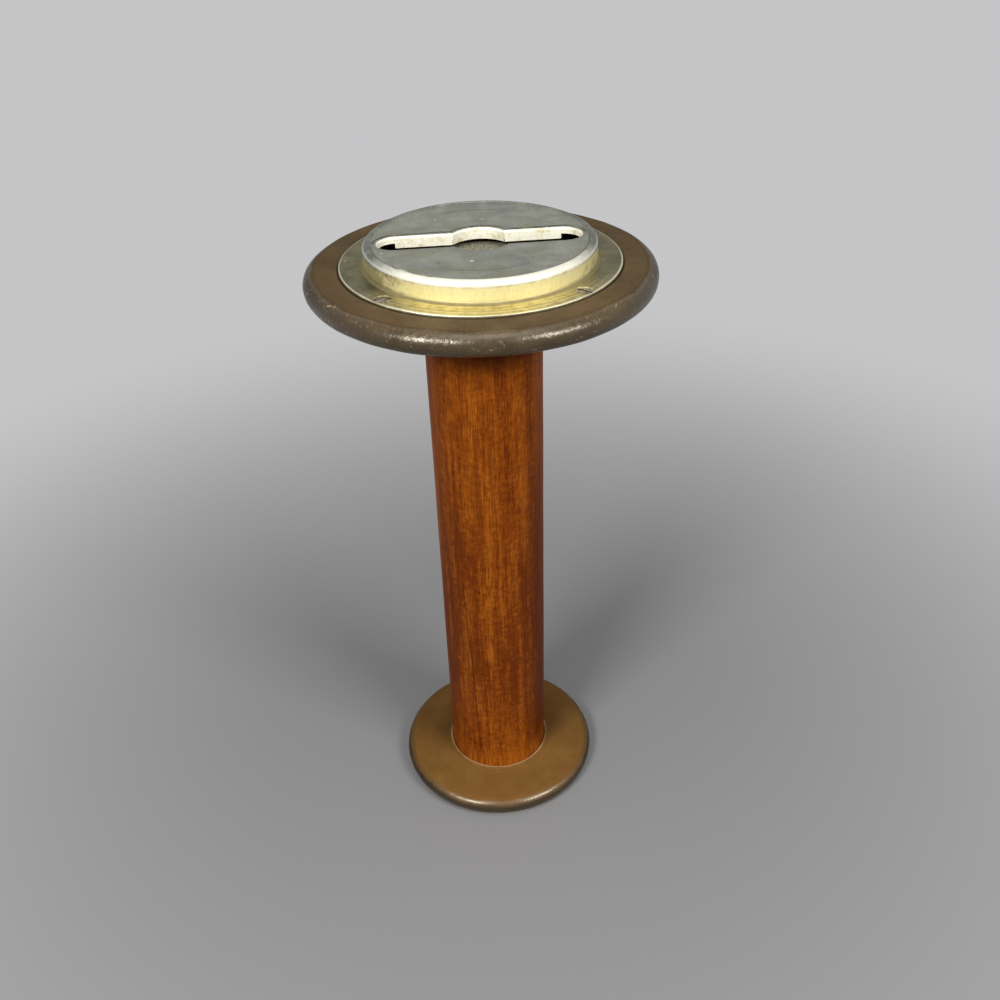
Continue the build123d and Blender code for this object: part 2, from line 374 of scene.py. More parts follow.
def wood():
    """Stained and varnished straight-grained hardwood, grey and bare on its end grain."""
    dark = (0.125, 0.023, 0.002)
    middle = (0.25, 0.057, 0.0035)
    light = (0.4, 0.112, 0.0085)
    shaded = (0.065, 0.0125, 0.0025)
    paint = Paint("varnished_wood")
    fine = paint.noise(2.8, (1, 1, 0.05), 3.0, 0.55, 0.1)
    stripes = paint.noise(0.85, (1, 1, 0.02), 3.0, 0.5, 0.1, shift=31)
    bands = paint.noise(0.2, (1, 1, 0.08), 2.0, 0.5, 0.2, shift=57)
    curl = paint.noise(0.38, (0.8, 0.8, 1.3), 3.0, 0.6, 0.6, shift=11)
    grain = paint.total(
        paint.product(fine, 0.3),
        paint.product(stripes, 0.2),
        paint.product(bands, 0.28),
        paint.product(curl, 0.22),
    )
    colour = paint.colour(paint.fade(grain, 0.4, 0.51), dark, middle)
    colour = paint.colour(paint.fade(grain, 0.49, 0.61), colour, light)
    flecks = paint.fade(paint.noise(1.7, (1, 1, 0.14), 2.0, 0.5, shift=83), 0.62, 0.74)
    colour = paint.colour(paint.product(flecks, 0.35), colour, (0.45, 0.15, 0.02))
    pores = paint.fade(paint.noise(2.6, (1, 1, 0.035), 2.0, 0.5, shift=19), 0.56, 0.65)
    streaks = paint.fade(stripes, 0.57, 0.66)
    dark_lines = paint.math("MAXIMUM", paint.product(pores, 0.5), paint.product(streaks, 0.45))
    colour = paint.colour(dark_lines, colour, (0.07, 0.013, 0.0015))
    # Painted shade: the barrel's lower middle is darkened in colour, standing in for the light falling off towards
    # the bottom.
    low = paint.band(paint.z, 45.0, 165.0, 30.0)
    colour = paint.colour(paint.product(low, paint.fade(grain, 0.44, 0.57, 0.85, 0.2)), colour, dark)
    # Painted shade: the barrel is darkened towards its right side and left edge, standing in for the shading of its
    # round side, and in a band just under the large head, standing in for the head's cast shadow.
    right = paint.product(paint.fade(paint.x, 9.0, 24.0), paint.fade(paint.z, 235.0, 120.0, 0.3, 0.75))
    left = paint.product(paint.fade(paint.x, -17.0, -24.5), 0.3)
    under_head = paint.fade(paint.z, 236.0, 250.0, 0.0, 0.85)
    sides = paint.math("MAXIMUM", left, right)
    colour = paint.colour(paint.math("MAXIMUM", sides, under_head), colour, shaded)
    knot = paint.node("ShaderNodeVectorMath", {0: paint.place, 1: PALE_SPOT}, operation="SUBTRACT")
    knot = paint.node("ShaderNodeVectorMath", {0: knot.outputs[0], 1: (0.55, 0.55, 0.22)}, operation="MULTIPLY")
    knot = paint.node("ShaderNodeVectorMath", {0: knot.outputs[0]}, operation="LENGTH").outputs["Value"]
    colour = paint.colour(paint.product(paint.fade(knot, 0.4, 1.6, 1.0, 0.0), 0.5), colour, (0.42, 0.11, 0.012))
    crack = paint.scar()
    colour = paint.colour(paint.product(crack, 0.85), colour, (0.035, 0.008, 0.002))
    near_foot = paint.fade(paint.z, 10.0, 26.0, 1.0, 0.0)
    golden = paint.product(near_foot, paint.fade(stripes, 0.55, 0.42, 0.1, 0.75))
    colour = paint.colour(golden, colour, (0.44, 0.125, 0.01))
    end = paint.math("GREATER_THAN", paint.z, TENON_TOP - TENON_CHAMFER - 0.2)
    end_grain = paint.noise(0.9, (1, 1, 1), 5.0, 0.65, shift=5)
    end_colour = paint.colour(paint.fade(end_grain, 0.35, 0.65), (0.13, 0.122, 0.085), (0.26, 0.245, 0.18))
    colour = paint.colour(end, colour, end_colour)
    sheen = paint.total(paint.product(curl, 0.2), paint.product(fine, 0.12), 0.34)
    rough = paint.total(sheen, paint.product(end, 0.2))
    normal = paint.bump(paint.total(paint.product(fine, 0.5), paint.product(pores, -0.6)), 0.05)
    normal = paint.bump(paint.product(end_grain, end), 0.25, normal)
    inputs = {"Base Color": colour, "Roughness": rough, "Normal": normal, "Specular IOR Level": 0.06}
    return paint.finish(**inputs)


def fibre(name, radius, rim_start, face_dark, face_light, rim_dark, rim_light, warm, pale, wear):
    """Vulcanised fibre: matt faces with a fine speckle, and a rim polished by handling."""
    paint = Paint(name)
    reach = paint.radius()
    speckle = paint.noise(1.7, detail=5.0, rough=0.7)
    cloud = paint.noise(0.085, detail=4.0, rough=0.6, shift=23)
    mixed = paint.total(paint.product(speckle, 0.55), paint.product(cloud, 0.45))
    colour = paint.colour(paint.fade(mixed, 0.36, 0.64), face_dark, face_light)
    blush = paint.fade(paint.noise(0.05, detail=3.0, shift=41), 0.48, 0.66)
    colour = paint.colour(paint.product(blush, 0.4), colour, warm)
    # Painted shade: the heads' faces are darkened towards their left and right, standing in for how the light falls
    # across them.
    sideways = paint.fade(paint.math("ABSOLUTE", paint.x), 25.0, 60.0, 0.0, 0.5)
    shaded = [0.7 * share for share in face_dark]
    shadow = [0.35 * share for share in face_dark]
    colour = paint.colour(sideways, colour, shaded)
    flat_radius = radius - HEAD_RIM_RADIUS
    uneven = paint.product(paint.math("SUBTRACT", cloud, 0.5), 3.5)
    outwards = paint.total(reach, uneven, -flat_radius)
    on_rim = paint.fade(outwards, rim_start, rim_start + 2.4)
    polished = paint.fade(outwards, 0.6 * rim_start, 0.6 * rim_start + 1.6)
    rim_mixed = paint.colour(paint.fade(mixed, 0.38, 0.62), rim_dark, rim_light)
    # The rim's colour darkens towards its outer edge.
    darker_rim = [0.6 * share for share in rim_dark]
    rim_mixed = paint.colour(paint.fade(outwards, 3.0, 4.6, 0.0, 0.5), rim_mixed, darker_rim)
    # Painted shade: the rim is also darkened towards its left and right ends, where it turns away from the lamps.
    end_on = paint.fade(paint.math("ABSOLUTE", paint.x), 0.6 * radius, 0.98 * radius, 0.0, 0.75)
    rim_mixed = paint.colour(end_on, rim_mixed, darker_rim)
    colour = paint.colour(on_rim, colour, rim_mixed)
    seam = paint.band(outwards, rim_start - 0.4, rim_start + 0.8, 0.8)
    colour = paint.colour(paint.product(seam, 0.4), colour, rim_dark)
    # Painted shadow: a dark ring on the large head's face just outside the drive cap's ring, standing in for the
    # shade in the gap under the ring's edge.
    ring_gap_shadow = paint.product(
        paint.band(reach, RING_RADIUS, RING_RADIUS + 0.7, 0.25),
        paint.fade(paint.z, RING_TOP - 3.0, RING_TOP - 2.0),
    )
    colour = paint.colour(paint.product(ring_gap_shadow, 0.95), colour, (0.012, 0.007, 0.003))
    barrel_side = paint.band(paint.z, 5.0, 272.0, 1.0)
    # Painted shadow on the heads' faces behind the barrel, deepest close to it, which also stands for grime near
    # the barrel's foot.
    beside_barrel = paint.product(
        paint.fade(reach, 40.0, 27.0, 0.25, 0.6), paint.fade(paint.y, -20.0, 10.0), barrel_side
    )
    colour = paint.colour(beside_barrel, colour, shadow)
    # A paler tan along the bead's inner edge at the barrel's foot: partly worn fibre, partly a painted highlight
    # where the bead's rounded edge catches the light.
    crest = paint.product(paint.band(reach, LET_IN_RADIUS + 0.2, LET_IN_RADIUS + 1.05, 0.15), barrel_side)
    colour = paint.colour(paint.product(crest, paint.fade(cloud, 0.36, 0.6, 0.25, 0.7)), colour, pale)
    scratches = paint.math(
        "MAXIMUM",
        lines(paint, 1.3, (20, 35, 50), 3, 0.7),
        lines(paint, 1.2, (-30, 15, -25), 13, 0.7),
    )
    worn = paint.product(scratches, paint.total(paint.product(polished, 0.32), 0.06), wear)
    nicks = paint.fade(paint.total(paint.scar(), paint.product(speckle, 0.35)), 0.6, 1.0)
    colour = paint.colour(paint.math("MAXIMUM", worn, nicks), colour, (0.3, 0.21, 0.125))
    flecks = paint.fade(paint.noise(0.8, detail=2.0, shift=83), 0.66, 0.72)
    flecks = paint.product(flecks, polished, paint.fade(paint.x, -12.0, -40.0), wear)
    colour = paint.colour(paint.product(flecks, 0.8), colour, (0.27, 0.16, 0.085))
    hollows = paint.noise(0.3, detail=3.0, rough=0.55, shift=67)
    polish = paint.fade(hollows, 0.35, 0.7, 0.26, 0.36)
    matt = paint.fade(speckle, 0.3, 0.7, 0.62, 0.8)
    share = paint.math("SUBTRACT", 1.0, polished)
    rough = paint.total(paint.product(matt, share), paint.product(polish, polished))
    rough = paint.total(rough, paint.product(nicks, 0.2))
    normal = paint.bump(paint.product(speckle, paint.total(paint.product(share, 0.7), 0.3)), 0.1)
    normal = paint.bump(paint.product(worn, -1.0), 0.06, normal)
    facets = paint.noise(0.95, detail=2.0, shift=73)
    worked = paint.total(paint.product(hollows, 0.75), paint.product(facets, 0.25))
    normal = paint.bump(paint.product(worked, polished, wear), 0.34, normal)
    handled = paint.fade(paint.total(paint.y, paint.product(cloud, 16.0), -8.0), -14.0, -44.0, 0.2, 1.0)
    gloss = paint.total(paint.product(share, 0.1), paint.product(polished, handled, 0.95))
    inputs = {"Base Color": colour, "Roughness": rough, "Normal": normal, "Specular IOR Level": gloss}
    inputs["Specular Tint"] = (1.0, 0.93, 0.76, 1.0)
    return paint.finish(**inputs)


def plated():
    """Pressed sheet: worn grey on the face, silver at the corner, brass on the wall and ring."""
    grey_dark = (0.25, 0.255, 0.21)
    grey_light = (0.47, 0.48, 0.4)
    silver = (0.88, 0.87, 0.72)
    tarnish = (0.2, 0.205, 0.175)
    brass = (0.93, 0.84, 0.44)
    dull_brass = (0.76, 0.66, 0.3)
    shaded_side_brass = (0.24, 0.2, 0.09)
    olive = (0.13, 0.118, 0.058)
    cream = (0.95, 0.94, 0.8)
    paint = Paint("plated_sheet")
    reach = paint.radius()
    fine = paint.noise(1.9, detail=4.0, rough=0.65)
    cloud = paint.noise(0.12, detail=5.0, rough=0.6, shift=17)
    patch = paint.noise(0.32, detail=4.0, rough=0.65, shift=29)
    drawn = paint.noise(2.2, (1, 1, 0.06), 4.0, 0.6, shift=37)

    mixed = paint.total(paint.product(fine, 0.58), paint.product(cloud, 0.42))
    face = paint.colour(paint.fade(mixed, 0.36, 0.66), grey_dark, grey_light)
    moss = paint.fade(paint.noise(0.07, detail=4.0, rough=0.6, shift=89), 0.5, 0.62)
    face = paint.colour(paint.product(moss, 0.55), face, (0.3, 0.3, 0.19))
    dark_spots = paint.fade(paint.noise(0.55, detail=3.0, rough=0.6, shift=47), 0.61, 0.72)
    face = paint.colour(paint.product(dark_spots, 0.45), face, (0.09, 0.09, 0.07))
    hairs = paint.math(
        "MAXIMUM",
        lines(paint, 1.8, (0, 0, 62), 53, 0.67),
        lines(paint, 1.8, (0, 0, -18), 59, 0.67),
    )
    face = paint.colour(paint.product(hairs, 0.16), face, (0.5, 0.5, 0.45))

    streaks = paint.fade(drawn, 0.4, 0.62)
    wall = paint.colour(paint.product(streaks, 0.4), brass, dull_brass)
    spots = paint.fade(paint.noise(0.8, (1, 1, 0.7), 4.0, 0.65, shift=97), 0.56, 0.7)
    wall = paint.colour(paint.product(spots, 0.3), wall, (0.5, 0.42, 0.2))
    stain = paint.fade(patch, 0.54, 0.7)
    wall = paint.colour(paint.product(stain, 0.25), wall, (0.55, 0.48, 0.25))
    # Painted shade: the wall is darkened towards its left and right, with a mottled edge, standing in for the wall
    # turning away from the lamps.
    mottle = paint.total(paint.product(patch, 26.0), -13.0)
    to_left = paint.fade(paint.total(paint.x, mottle), -30.0, -42.0)
    to_right = paint.product(paint.fade(paint.total(paint.x, mottle), 34.0, 46.0), 0.75)
    sides = paint.math("MAXIMUM", to_left, to_right)
    wall = paint.colour(paint.product(sides, 0.8), wall, shaded_side_brass)

    grain = paint.total(paint.product(cloud, 0.5), paint.product(fine, 0.5))
    # Painted reflection: the ring turns golden and lighter towards the front, standing in for the bright wall and
    # lamps it reflects there; its turned streaks are its own.
    ring_front_reflection = paint.fade(paint.total(paint.y, mottle), -20.0, -43.0)
    ring = paint.colour(paint.fade(grain, 0.38, 0.62), olive, (0.26, 0.235, 0.12))
    ring = paint.colour(paint.product(stain, 0.3), ring, (0.13, 0.115, 0.055))
    across = paint.node("ShaderNodeCombineXYZ", {0: reach}).outputs[0]
    turned = paint.node("ShaderNodeTexNoise", {"Vector": across, "Scale": 0.9, "Detail": 3.0}).outputs[0]
    streaked = paint.total(paint.product(turned, 0.6), paint.product(patch, 0.4))
    golden = paint.colour(paint.fade(streaked, 0.42, 0.58), (0.37, 0.31, 0.15), (0.66, 0.59, 0.34))
    ring = paint.colour(ring_front_reflection, ring, golden)

    ragged = paint.total(paint.product(patch, 3.0), paint.product(drawn, 1.0), -2.0)
    height = paint.total(paint.z, ragged)
    wall_top = CAP_TOP - CORNER_RADIUS
    # The rounded corner is tarnished grey at the sides and silver towards the front: partly plating worn through,
    # partly a painted highlight where the corner faces the lamps.
    corner_front_highlight = paint.fade(paint.total(paint.y, paint.product(mottle, 0.5)), -12.0, -36.0)
    corner = paint.colour(paint.fade(mixed, 0.45, 0.65), tarnish, face)
    corner = paint.colour(paint.band(reach, 45.25, 45.7, 0.15), corner, (0.6, 0.62, 0.6))
    corner = paint.colour(corner_front_highlight, corner, silver)
    on_top = paint.fade(height, wall_top - 0.6, wall_top + 0.8)
    colour = paint.colour(on_top, wall, corner)
    foot = RING_TOP + FOOT_RADIUS
    colour = paint.colour(paint.fade(paint.z, foot - 0.2, foot - 0.8), colour, ring)
    # Painted shade and dirt: the fillet at the wall's foot is darkened, where shade falls into the crease.
    crease = paint.product(
        paint.band(reach, BOSS_RADIUS + 0.1, BOSS_RADIUS + FOOT_RADIUS + 0.2, 0.2),
        paint.fade(paint.z, foot + 0.1, foot - 0.3),
    )
    colour = paint.colour(paint.product(crease, 0.75), colour, (0.2, 0.165, 0.07))
    inside = paint.fade(paint.total(reach, paint.product(patch, 0.8)), 43.6, 42.8)
    colour = paint.colour(inside, colour, face)
    # The slot's walls are painted a bright cream and made matt: the sheet's own pale colour, painted up to stand in
    # for the light they reflect; the yellowing and stains are the walls' own.
    slot_wall = paint.product(inside, paint.fade(paint.z, CAP_FACE - 0.12, CAP_FACE - 0.5))
    yellowed = paint.fade(patch, 0.47, 0.58)
    bright = paint.colour(paint.product(yellowed, 0.55), cream, (0.8, 0.72, 0.45))
    bright = paint.colour(paint.product(stain, 0.7), bright, (0.55, 0.5, 0.33))
    colour = paint.colour(slot_wall, colour, bright)
    lip = paint.product(
        paint.band(reach, 42.1, 42.8, 0.2),
        paint.fade(patch, 0.34, 0.5, 0.3, 1.0),
        paint.fade(paint.y, 12.0, -12.0, 0.25, 1.0),
    )
    colour = paint.colour(paint.product(lip, 0.75), colour, (0.07, 0.07, 0.06))
    # Painted highlight: a bright line along the ring's rounded outer edge, strongest towards the front, where the
    # edge catches the lamps.
    ring_edge_highlight = paint.product(
        paint.fade(reach, RING_RADIUS - 0.8, RING_RADIUS - 0.45),
        paint.fade(paint.z, RING_TOP - 0.85, RING_TOP - 0.6),
        paint.fade(paint.total(paint.y, mottle), 20.0, -25.0, 0.3, 0.85),
    )
    colour = paint.colour(ring_edge_highlight, colour, (0.95, 0.91, 0.68))
    arcs = paint.product(
        paint.band(reach, 33.2, 34.0, 0.25),
        paint.fade(paint.math("ABSOLUTE", paint.y), 28.5, 31.5),
        paint.fade(patch, 0.36, 0.5),
        inside,
    )
    colour = paint.colour(paint.product(arcs, 0.5), colour, (0.08, 0.08, 0.07))

    past_end = paint.math("MAXIMUM", paint.math("SUBTRACT", paint.math("ABSOLUTE", paint.x), SLOT_END_X), 0.0)
    from_slot = paint.math("SQRT", paint.total(paint.product(past_end, past_end), paint.product(paint.y, paint.y)))
    from_slot = paint.math("SUBTRACT", from_slot, SLOT_WIDTH / 2)
    from_edge = paint.math("MINIMUM", from_slot, paint.math("SUBTRACT", reach, HOLE_RADIUS))
    shaken = paint.total(from_edge, paint.product(patch, 2.0), -1.0)
    scuff = paint.product(
        paint.band(shaken, 0.9, 2.1, 0.3),
        paint.fade(paint.z, CAP_FACE - 0.35, CAP_FACE - 0.15),
        paint.fade(cloud, 0.34, 0.52),
        paint.fade(paint.y, -2.0, 2.0, 0.25, 1.0),
        inside,
    )
    colour = paint.colour(paint.product(scuff, 0.85), colour, (0.06, 0.056, 0.045))
    scar = paint.fade(paint.scar(), 0.3, 0.8)
    colour = paint.colour(scar, colour, (0.85, 0.84, 0.74))

    rough = paint.total(paint.product(cloud, 0.2), paint.product(fine, 0.12), 0.26)
    rough = paint.total(rough, paint.product(stain, 0.06), paint.product(slot_wall, 0.12))
    on_wall = paint.band(paint.z, foot, wall_top - 0.4, 0.5)
    outside = paint.math("SUBTRACT", 1.0, inside)
    side_wall = paint.product(on_wall, outside)
    rough = paint.total(rough, paint.product(side_wall, 0.12), paint.product(crease, 0.3))
    # The corner's front is made matt so that its painted highlight shows.
    on_corner = paint.product(on_top, outside, corner_front_highlight)
    dulled = paint.total(
        paint.product(slot_wall, 0.8),
        paint.product(side_wall, 0.45),
        paint.product(on_corner, 0.65),
        paint.product(crease, 0.5),
        paint.product(inside, 0.1),
    )
    metallic = paint.math("MAXIMUM", paint.math("SUBTRACT", 1.0, dulled), 0.2)
    height = paint.total(paint.product(fine, 0.5), paint.product(patch, 0.8), paint.product(hairs, -0.3))
    normal = paint.bump(height, 0.1)
    normal = paint.bump(paint.product(drawn, on_wall), 0.1, normal)
    inputs = {"Base Color": colour, "Roughness": rough, "Normal": normal, "Metallic": metallic}
    return paint.finish(**inputs)


def metal(name, base, worn, scale, rough_low, rough_high):
    """Tarnished metal, brighter where it is worn."""
    paint = Paint(name)
    patch = paint.noise(scale, detail=5.0, rough=0.65)
    fine = paint.noise(scale * 4, detail=3.0, rough=0.6, shift=9)
    mixed = paint.total(paint.product(patch, 0.65), paint.product(fine, 0.35))
    colour = paint.colour(paint.fade(mixed, 0.42, 0.6), base, worn)
    rough = paint.fade(patch, 0.35, 0.65, rough_high, rough_low)
    normal = paint.bump(mixed, 0.12)
    inputs = {"Base Color": colour, "Roughness": rough, "Normal": normal, "Metallic": 1.0}
    return paint.finish(**inputs)


def show(piece, node, material):
    """Let the piece stand for a CAD node, with its finish."""
    piece.data.materials.clear()
    piece.data.materials.append(material)
    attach(piece, "root")
    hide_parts(node)


# Screws

def screw_mesh(head, shank, length, crown):
    """A slotted countersunk screw with its head's top at the origin, pointing down."""
    cone = (head - shank) / COUNTERSINK_SLOPE
    edge = 0.12
    crown_points = [(head * (1 - t) + 0.02 * t, crown * (1 - (1 - t) ** 2)) for t in np.linspace(0.12, 1, 9)]
    section = [
        (0.02, -length),
        (shank, SCREW_POINT - length),
        (shank, -SCREW_LAND - cone),
        (head, -SCREW_LAND),
        (head, -edge),
        *crown_points,
    ]
    mesh = lathe("screw", [(r, z - crown) for r, z in dense(section, 0.8)], 64)
    cutter = bpy.data.meshes.new("driver_slot")
    tool = bmesh.new()
    size = Matrix.Diagonal((3 * head * MM, DRIVER_SLOT_WIDTH * MM, 2 * DRIVER_SLOT_DEPTH * MM, 1))
    bmesh.ops.create_cube(tool, size=1.0, matrix=size)
    tool.to_mesh(cutter)
    tool.free()
    return carve(mesh, cutter)


def screw_ring(name, screw, radius, first_angle, top, turns, face_up):
    """A ring of the same screw, each left at its own turn."""
    parts = []
    for index, turn in enumerate(turns):
        azimuth = first_angle + index * 360 / len(turns)
        spot = Vector(polar(radius, azimuth, top) * MM)
        flip = Matrix() if face_up else Matrix.Rotation(pi, 4, "X")
        parts.append((screw, Matrix.Translation(spot) @ flip @ Matrix.Rotation(radians(turn), 4, "Z")))
    return place(name, joined(name, parts))


def sink_cutter(head, shank, depth, top, first_angle, radius, face_up):
    """Countersunk holes for a ring of four screws, as one cutter."""
    above = 1.5
    wide = head + SCREW_GAP + (SCREW_LAND + HEAD_SCREW_DEPTH) * COUNTERSINK_SLOPE
    narrow = shank + SCREW_GAP
    cone_foot = -(wide - narrow) / COUNTERSINK_SLOPE
    section = [
        (0.01, above),
        (wide + above * COUNTERSINK_SLOPE, above),
        (narrow, cone_foot),
        (narrow, -depth),
        (0.01, -depth),
    ]
    one = lathe("sink", section, 48)
    flip = Matrix() if face_up else Matrix.Rotation(pi, 4, "X")
    spots = [Vector(polar(radius, first_angle + 90 * i, top) * MM) for i in range(4)]
    return joined("sinks", [(one, Matrix.Translation(spot) @ flip) for spot in spots])


# Heads

def head_section():
    """Half of a head's section as (distance from the rim, height above the outer face)."""
    return arc((0, HEAD_RIM_RADIUS), HEAD_RIM_RADIUS, -90, 90, 29)


def head_mesh(name, radius, outer_z, up, segments):
    """A head as a lathe: up is 1 where its inner face points up, and -1 where it points down."""
    flat = radius - HEAD_RIM_RADIUS
    bead_outer = LET_IN_RADIUS + BEAD_WIDTH
    bead_z = HEAD_THICKNESS + BEAD_HEIGHT
    edge_z = bead_z - BEAD_EDGE_RADIUS
    section = [(flat + r, z) for r, z in head_section()]
    bead = [(bead_outer, HEAD_THICKNESS)]
    bead += arc((bead_outer - BEAD_EDGE_RADIUS, edge_z), BEAD_EDGE_RADIUS, 0, 90, 8)
    bead += arc((LET_IN_RADIUS + BEAD_EDGE_RADIUS, edge_z), BEAD_EDGE_RADIUS, 90, 180, 8)
    step = [
        (LET_IN_RADIUS, HEAD_THICKNESS - LET_IN_DEPTH),
        (TENON_HOLE_RADIUS, HEAD_THICKNESS - LET_IN_DEPTH),
        (TENON_HOLE_RADIUS, 0),
    ]
    section = dense(section + bead + step, 0.9)
    return lathe(name, [(r, outer_z + up * z) for r, z in section], segments)


def large_head():
    middle = LARGE_HEAD_TOP - HEAD_RIM_RADIUS
    mesh = head_mesh("large_head_fibre", LARGE_HEAD_RADIUS, LARGE_HEAD_TOP, -1, 640)
    rim_marks = [
        # azimuth, section angle, turn, half length, half width, depth, scar
        (-149.5, 62, 20, 2.2, 0.6, 0.25, 1.0),
        (-147.3, 74, -50, 1.3, 0.5, 0.2, 1.0),
        (-149.2, 30, 40, 2.6, 0.35, 0.12, 0.8),
        (-149.0, -5, 60, 3.0, 0.4, 0.2, 1.0),
        (-147.5, -14, 80, 2.4, 0.4, 0.2, 0.9),
        (-145.6, 10, 30, 3.2, 0.3, 0.12, 0.8),
        (-139.0, -20, -35, 2.2, 0.35, 0.15, 0.8),
        (-156.2, 52, 10, 1.2, 0.5, 0.15, 0.7),
        (-106.2, 3, 65, 2.8, 0.3, 0.12, 0.7),
        (-96.2, -3, -25, 4.0, 0.3, 0.12, 0.8),
        (-92.0, -6, 15, 3.4, 0.35, 0.15, 0.9),
        (-88.6, 18, -60, 2.2, 0.35, 0.15, 0.8),
        (-79.2, -24, 10, 3.6, 0.4, 0.2, 0.9),
        (-65.5, -15, 15, 3.4, 0.35, 0.15, 0.9),
        (-60.0, -6, -20, 2.4, 0.3, 0.12, 0.8),
        (-49.0, 66, 30, 2.6, 0.5, 0.15, 0.9),
        (-46.5, 58, 40, 1.4, 0.4, 0.1, 0.7),
        (-20.8, 55, 20, 1.3, 0.6, 0.2, 0.9),
        (12.0, 20, 30, 2.2, 0.4, 0.15, 0.8),
        (48.0, 40, -20, 3.0, 0.35, 0.15, 0.8),
        (71.0, -5, 50, 2.6, 0.4, 0.2, 0.9),
        (104.0, 30, 15, 2.0, 0.4, 0.15, 0.8),
        (136.0, -10, -30, 3.2, 0.35, 0.15, 0.8),
        (162.0, 25, 40, 1.8, 0.4, 0.15, 0.8),
    ]
    marks = [rim_mark(LARGE_HEAD_RADIUS, middle, *values) for values in rim_marks]
    press(mesh, marks, [(60, 0.12, 1), (14, 0.035, 2)])
    cap_sinks = sink_cutter(
        CAP_SCREW_HEAD - SHEET * COUNTERSINK_SLOPE, CAP_SCREW_SHANK, 7.7, LARGE_HEAD_TOP,
        CAP_SCREW_ANGLE, CAP_SCREW_RADIUS, True,
    )
    mesh = carve(mesh, cap_sinks)
    own_sinks = sink_cutter(
        HEAD_SCREW_HEAD, HEAD_SCREW_SHANK, 12, LARGE_HEAD_TOP,
        HEAD_SCREW_ANGLE, HEAD_SCREW_RADIUS, True,
    )
    piece = place("large_head_disc", carve(mesh, own_sinks))
    material = fibre(
        "dark_fibre", LARGE_HEAD_RADIUS, 0.6,
        (0.078, 0.05, 0.024), (0.15, 0.105, 0.05), (0.028, 0.0145, 0.003), (0.082, 0.05, 0.0145),
        (0.14, 0.078, 0.036), (0.28, 0.18, 0.09), 1.0,
    )
    show(piece, "large_head", material)


def small_head():
    mesh = head_mesh("small_head_fibre", SMALL_HEAD_RADIUS, 0, 1, 480)
    rim_marks = [
        (-125.0, 50, 20, 2.0, 0.4, 0.1, 0.6),
        (-152.0, 35, -30, 1.6, 0.4, 0.12, 0.6),
        (-33.0, 55, 40, 1.8, 0.4, 0.12, 0.7),
        (-60.0, -10, 10, 2.4, 0.3, 0.1, 0.6),
        (20.0, 30, 25, 2.4, 0.35, 0.12, 0.7),
        (95.0, 10, -40, 2.0, 0.4, 0.15, 0.7),
        (150.0, 40, 15, 1.6, 0.4, 0.12, 0.6),
    ]
    marks = [rim_mark(SMALL_HEAD_RADIUS, HEAD_RIM_RADIUS, *values) for values in rim_marks]
    press(mesh, marks, [(45, 0.05, 3), (12, 0.02, 4)])
    sinks = sink_cutter(
        HEAD_SCREW_HEAD, HEAD_SCREW_SHANK, 12, 0, HEAD_SCREW_ANGLE, HEAD_SCREW_RADIUS, False,
    )
    piece = place("small_head_disc", carve(mesh, sinks))
    material = fibre(
        "olive_fibre", SMALL_HEAD_RADIUS, 2.3,
        (0.155, 0.075, 0.018), (0.22, 0.114, 0.03), (0.026, 0.013, 0.003), (0.07, 0.037, 0.009),
        (0.2, 0.086, 0.024), (0.55, 0.33, 0.17), 0.25,
    )
    show(piece, "small_head", material)


# Barrel

def barrel():
    section = [
        (BORE_RADIUS + TENON_CHAMFER, TENON_FOOT),
        (TENON_RADIUS - TENON_CHAMFER, TENON_FOOT),
        (TENON_RADIUS, TENON_FOOT + TENON_CHAMFER),
        (TENON_RADIUS, BARREL_FOOT),
        (BARREL_RADIUS, BARREL_FOOT),
        (BARREL_RADIUS, BARREL_SHOULDER),
        (TENON_RADIUS, BARREL_SHOULDER),
        (TENON_RADIUS, TENON_TOP - TENON_CHAMFER),
        (TENON_RADIUS - TENON_CHAMFER, TENON_TOP),
        (BORE_RADIUS + TENON_CHAMFER, TENON_TOP),
        (BORE_RADIUS, TENON_TOP - TENON_CHAMFER),
        (BORE_RADIUS, TENON_FOOT + TENON_CHAMFER),
    ]
    turned = []
    for start, end in zip(section, section[1:] + section[:1]):
        step = 1.8 if start[0] == end[0] == BARREL_RADIUS else 12
        run = dense([start, end], step)
        turned += run[: len(run) // 2]
    mesh = lathe("barrel_wood", turned, 512)
    crack = [(-128.8, 125.8), (-126.4, 111), (-124.8, 95.7), (-122.6, 85.7), (-121.2, 70), (-119.9, 52),
             (-118.3, 35), (-115.5, 10)]
    marks = []
    for (a0, z0), (a1, z1) in zip(crack, crack[1:]):
        for share in np.linspace(0, 1, 4, endpoint=False):
            azimuth = a0 + (a1 - a0) * share
            marks.append(barrel_mark(azimuth, z0 + (z1 - z0) * share, 87, 3.4, 0.32, 0.16, 0.9))
    dents = [
        (-106.8, 109.2, 0, 0.7, 0.6, 0.25, 1.0),
        (-105.6, 110.4, 60, 0.8, 0.4, 0.2, 0.9),
        (-109.6, 127.2, 88, 3.5, 0.35, 0.1, 0.6),
        (-70.0, 150.0, 80, 3.0, 0.4, 0.08, 0.3),
        (-84.0, 222.0, 70, 2.0, 0.5, 0.08, 0.2),
        (40.0, 90.0, 85, 6.0, 0.4, 0.12, 0.6),
        (120.0, 180.0, 88, 5.0, 0.4, 0.12, 0.5),
    ]
    marks += [barrel_mark(*values) for values in dents]
    press(mesh, marks, [(55, 0.05, 5)])
    piece = place("barrel_turned", mesh)
    show(piece, "barrel", wood())


def barrel_mark(azimuth, z, turn, length, width, depth, scar):
    """A dent in the barrel's side."""
    return mark(polar(BARREL_RADIUS, azimuth, z), polar(1, azimuth, 0), turn, length, width, depth, scar)


# Drive cap

TIP_STEPS = 16
RUN_STEPS = 22
BOW_STEPS = 76
TINY = 0.02


